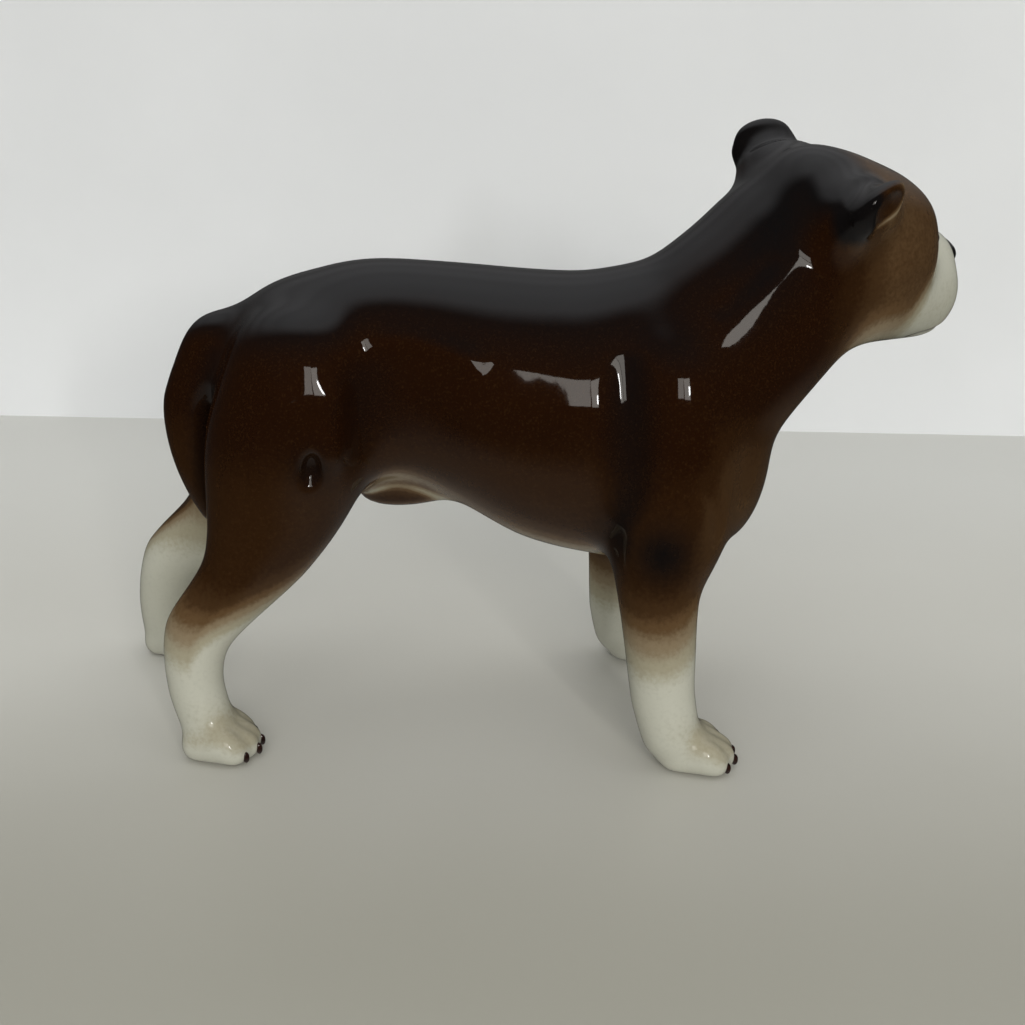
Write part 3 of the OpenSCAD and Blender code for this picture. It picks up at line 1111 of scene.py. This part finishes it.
def enamel(name, light, dark):
    """A glossy enamel, with a brown iris where a bead has one."""
    mat, nodes, links, shader = material(name)
    grain = noise(nodes, links, 900, 3)
    base = gradient(nodes, links, grain, [(0.3, light), (0.7, dark)])
    colour = mix(nodes, links, attribute(nodes, "iris"), base, srgb(92, 50, 22))
    links.new(colour, shader.inputs["Base Color"])
    shader.inputs["Roughness"].default_value = 0.06
    bump(nodes, links, shader, [(500, 0.00001)])
    return mat


ENAMELS = {
    "eye_enamel": enamel("eye_enamel", srgb(20, 12, 9), srgb(12, 8, 7)),
    "nose_enamel": enamel("nose_enamel", srgb(18, 15, 15), srgb(11, 9, 9)),
    "claw_enamel": enamel("claw_enamel", srgb(46, 26, 20), srgb(28, 15, 12)),
}
for name, obj in enamel_pieces.items():
    slot = {"eye": "eye_enamel", "nos": "nose_enamel"}.get(name[:3], "claw_enamel")
    obj.data.materials.append(ENAMELS[slot])


# ---------- stage, light and camera

def sheet(name, corners):
    mesh = bpy.data.meshes.new(name)
    mesh.from_pydata([Vector(c) * MM for c in corners], [], [(0, 1, 2, 3)])
    obj = add_object(name, mesh)
    return obj


def table_top():
    """Pale stone, with painted shade that darkens it towards the viewer."""
    mat, nodes, links, shader = material("table_top")
    # painted shade: the table darkens towards the viewer
    depth = maths(nodes, links, "MULTIPLY", along_axes(nodes, links, "Object")["Y"], 3.0)
    depth = maths(nodes, links, "ADD", depth, 0.5)
    cloud = maths(nodes, links, "MULTIPLY", noise(nodes, links, 6, 3), 0.15)
    depth = maths(nodes, links, "ADD", depth, cloud)
    stops = [(0.34, srgb(164, 162, 150)), (0.66, srgb(207, 206, 198)), (1.0, srgb(220, 220, 214))]
    links.new(gradient(nodes, links, depth, stops), shader.inputs["Base Color"])
    shader.inputs["Roughness"].default_value = 0.45
    bump(nodes, links, shader, [(300, 0.00003)])
    return mat


def backdrop_paper():
    """White paper that is clear from behind, so that it hides nothing from other sides."""
    mat, nodes, links, shader = material("backdrop_paper")
    stops = [(0.3, srgb(241, 243, 244)), (0.7, srgb(234, 236, 237))]
    links.new(gradient(nodes, links, noise(nodes, links, 8, 4), stops), shader.inputs["Base Color"])
    shader.inputs["Roughness"].default_value = 0.9
    shader.inputs["Specular IOR Level"].default_value = 0.1
    clear = nodes.new("ShaderNodeBsdfTransparent")
    choose = nodes.new("ShaderNodeMixShader")
    links.new(nodes.new("ShaderNodeNewGeometry").outputs["Backfacing"], choose.inputs[0])
    links.new(shader.outputs[0], choose.inputs[1])
    links.new(clear.outputs[0], choose.inputs[2])
    links.new(choose.outputs[0], nodes["Material Output"].inputs[0])
    return mat


floor = sheet("table", [(-3000, -3000, 0), (3000, -3000, 0), (3000, 3000, 0), (-3000, 3000, 0)])
floor.data.materials.append(table_top())
floor.visible_glossy = False
wall = sheet("backdrop", [(-1500, 178, 0), (1500, 170, 0), (1500, 170, 1200), (-1500, 178, 1200)])
wall.data.materials.append(backdrop_paper())
wall.visible_glossy = False


def grey(v):
    return v, v, v, 1


# mirrored from level and below: a dark room over a pale table
ROOM_STOPS = [(0.0, (0.3, 0.29, 0.27, 1)), (0.12, (0.26, 0.25, 0.23, 1)), (0.28, (0.04, 0.038, 0.035, 1)),
              (0.5, grey(0.025)), (1.0, grey(0.05))]
# mirrored from above and behind: a bright ceiling
GLOW_STOPS = [(0.42, grey(0.07)), (0.65, grey(0.17)), (0.8, (0.44, 0.44, 0.45, 1)),
              (0.92, (0.8, 0.81, 0.83, 1)), (1.0, (1.15, 1.17, 1.2, 1))]
CEILING_STOPS = [(0.0, grey(0)), (0.6, grey(0)), (0.95, grey(1))]
AMBIENT_STOPS = [(0.0, (0.08, 0.078, 0.075, 1)), (0.9, (0.5, 0.51, 0.52, 1))]


def either(nodes, links, factor, one, other):
    """One shader, or the other where factor is 1."""
    node = nodes.new("ShaderNodeMixShader")
    for socket, source in zip(node.inputs, (factor, one, other)):
        links.new(source, socket)
    return node.outputs[0]


def studio():
    """The world: a pale backdrop to the eye, a soft ambient light, and a room to mirror."""
    world = bpy.data.worlds.new("studio")
    bpy.context.scene.world = world
    world.use_nodes = True
    nodes, links = world.node_tree.nodes, world.node_tree.links
    place = along_axes(nodes, links, "Generated")
    height = place["Z"]
    back = maths(nodes, links, "MULTIPLY", place["Y"], 0.8)
    tilt = maths(nodes, links, "ADD", height, back)
    level = maths(nodes, links, "ADD", maths(nodes, links, "MULTIPLY", height, 0.5), 0.5)
    room = gradient(nodes, links, level, ROOM_STOPS)
    glow = gradient(nodes, links, level, GLOW_STOPS)
    ceiling = gradient(nodes, links, tilt, CEILING_STOPS)
    mirrored = nodes.new("ShaderNodeBackground")
    links.new(mix(nodes, links, ceiling, room, glow), mirrored.inputs["Color"])
    ambient = nodes["Background"]
    links.new(gradient(nodes, links, height, AMBIENT_STOPS), ambient.inputs["Color"])
    pale = nodes.new("ShaderNodeBackground")
    pale.inputs["Color"].default_value = (0.72, 0.73, 0.74, 1)
    path = nodes.new("ShaderNodeLightPath")
    lit = either(nodes, links, path.outputs["Is Glossy Ray"], ambient.outputs[0], mirrored.outputs[0])
    seen = either(nodes, links, path.outputs["Is Camera Ray"], lit, pale.outputs[0])
    links.new(seen, nodes["World Output"].inputs[0])


studio()


def softbox(name, place, width, height, power, colour=(1, 1, 1), mirrored=True):
    """A rectangular light turned to the middle of the dog."""
    light = bpy.data.lights.new(name, "AREA")
    light.shape = "RECTANGLE"
    light.size = width * MM
    light.size_y = height * MM
    light.energy = power
    light.color = colour
    obj = add_object(name, light)
    obj.location = Vector(place) * MM
    obj.rotation_euler = (Vector(AIM) - Vector(place)).to_track_quat("-Z", "Y").to_euler()
    obj.visible_glossy = mirrored


AIM = (0, 0, 50)
WARM = (1, 0.95, 0.88)
softbox("window_pane_1", (95, -900, 385), 160, 340, 1.0, colour=WARM)
softbox("window_pane_2", (272, -900, 385), 160, 340, 1.2, colour=WARM)
softbox("window_sky", (330, -880, 320), 36, 120, 1.0)
softbox("overhead", (0, 60, 700), 900, 700, 1.3, mirrored=False)
softbox("front", (-100, -800, 450), 900, 600, 2.9, mirrored=False)

CAMERA_AT = (-5.558, -216.646, 120.816)
PITCH, YAW, ROLL = (math.radians(v) for v in (21, -0.699, 1.328))


def add_camera():
    """A camera that looks down at the dog's right side, held a little askew."""
    camera = add_object("camera", bpy.data.cameras.new("camera"))
    bpy.context.scene.camera = camera
    camera.data.lens = 45.66
    camera.data.sensor_width = 36
    look = Vector((-math.sin(YAW) * math.cos(PITCH), math.cos(YAW) * math.cos(PITCH), -math.sin(PITCH)))
    level = Vector((math.cos(YAW), math.sin(YAW), 0))
    upright = level.cross(look)
    right = level * math.cos(ROLL) + upright * math.sin(ROLL)
    up = upright * math.cos(ROLL) - level * math.sin(ROLL)
    axes = Matrix((right, up, -look)).transposed().to_4x4()
    camera.matrix_world = Matrix.Translation(Vector(CAMERA_AT) * MM) @ axes


add_camera()
bpy.context.scene.view_settings.view_transform = "Standard"
